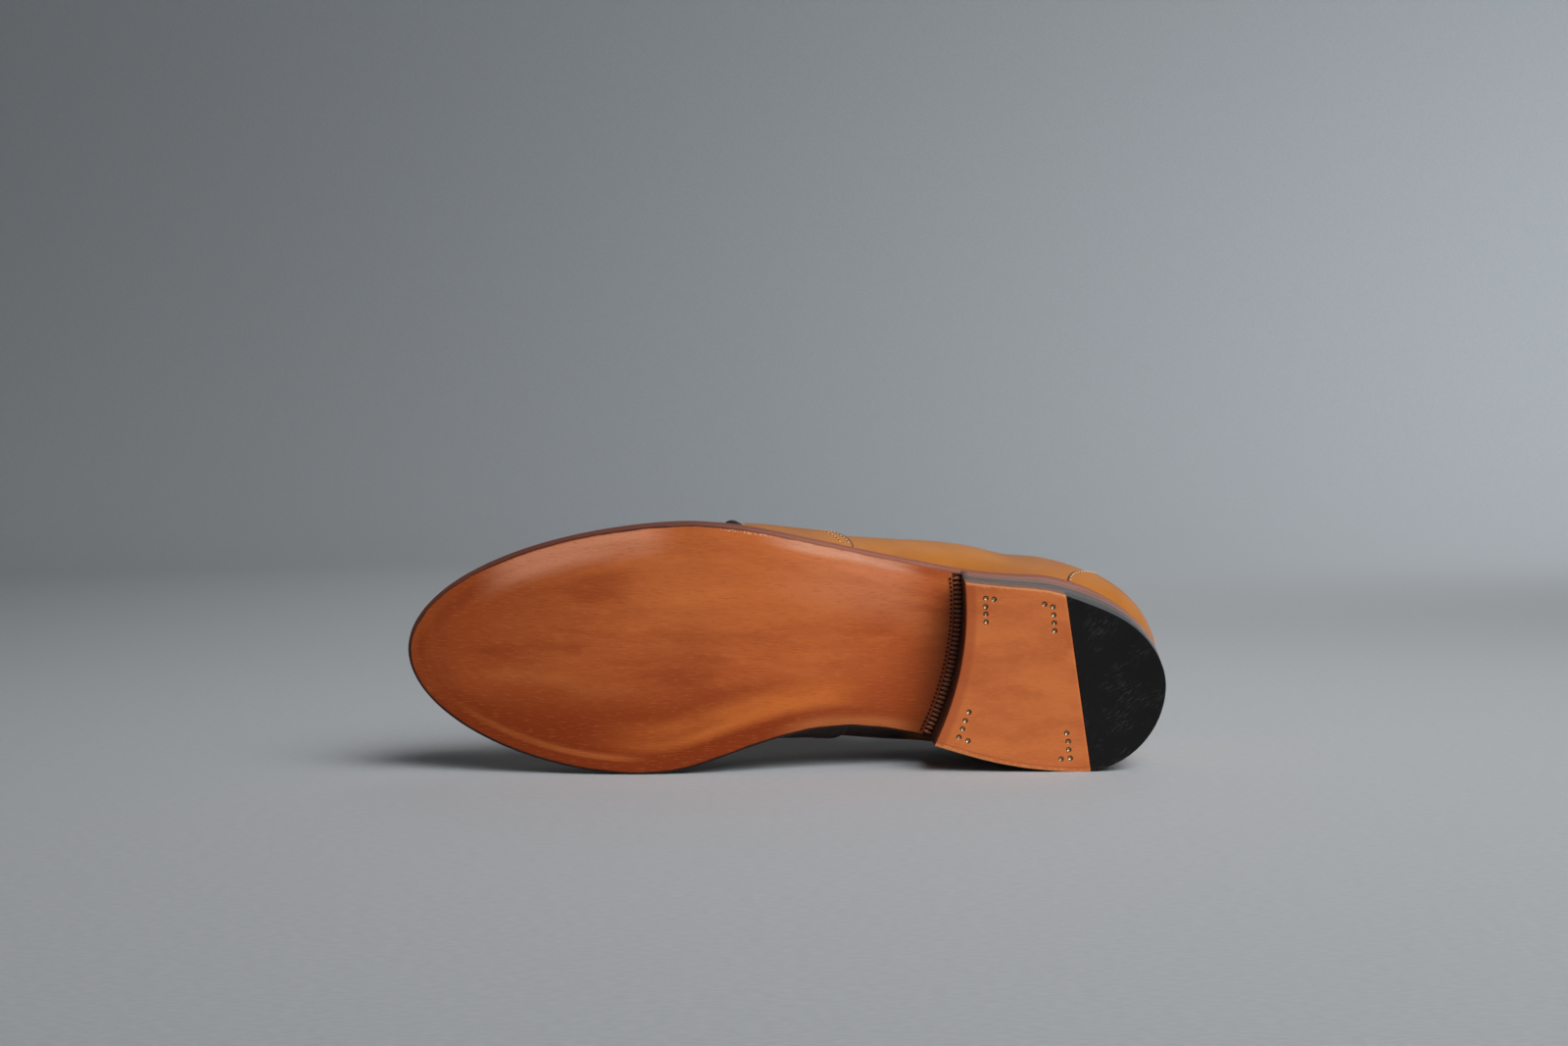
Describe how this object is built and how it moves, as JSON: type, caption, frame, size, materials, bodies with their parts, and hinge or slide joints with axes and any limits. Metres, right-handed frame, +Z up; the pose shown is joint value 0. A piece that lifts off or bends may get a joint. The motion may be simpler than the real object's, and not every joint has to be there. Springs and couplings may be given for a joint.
{
  "type": "college loafer",
  "caption": "Left college loafer with leather sole, welt, stacked heel with rubber tip, saddle strap with slot, apron seam and heel counter, lying on its inner side.",
  "frame": {"origin": "on the floor, under the middle of the part's box as it lies on its inner side", "axes": "+X from the toe to the heel, +Y from the sole's face up into the shoe, +Z up from the floor, towards the shoe's outer side"},
  "size_m": [0.3096, 0.105, 0.1019],
  "materials": {
    "tan_calf": "polished calf with a fine grain",
    "sole_leather": "burnished and waxed sole leather",
    "edge_leather": "dark inked and waxed edge",
    "lift_leather": "stacked leather, inked and waxed",
    "lining": "natural lining leather, matt",
    "rubber": "satin black rubber",
    "nail_brass": "ground flush with the heel",
    "thread": "waxed sewing thread"
  },
  "bodies": {
    "root": {"outsole": "sole_leather", "welt": "edge_leather", "insole": "lining", "upper": "tan_calf", "saddle_strap": "tan_calf", "heel_counter": "tan_calf", "apron_seam": "tan_calf", "tongue": "tan_calf", "heel_lift_1": "lift_leather", "heel_lift_2": "lift_leather", "heel_lift_3": "lift_leather", "top_piece": "sole_leather", "rubber_tip": "rubber"}
  },
  "joints": []
}
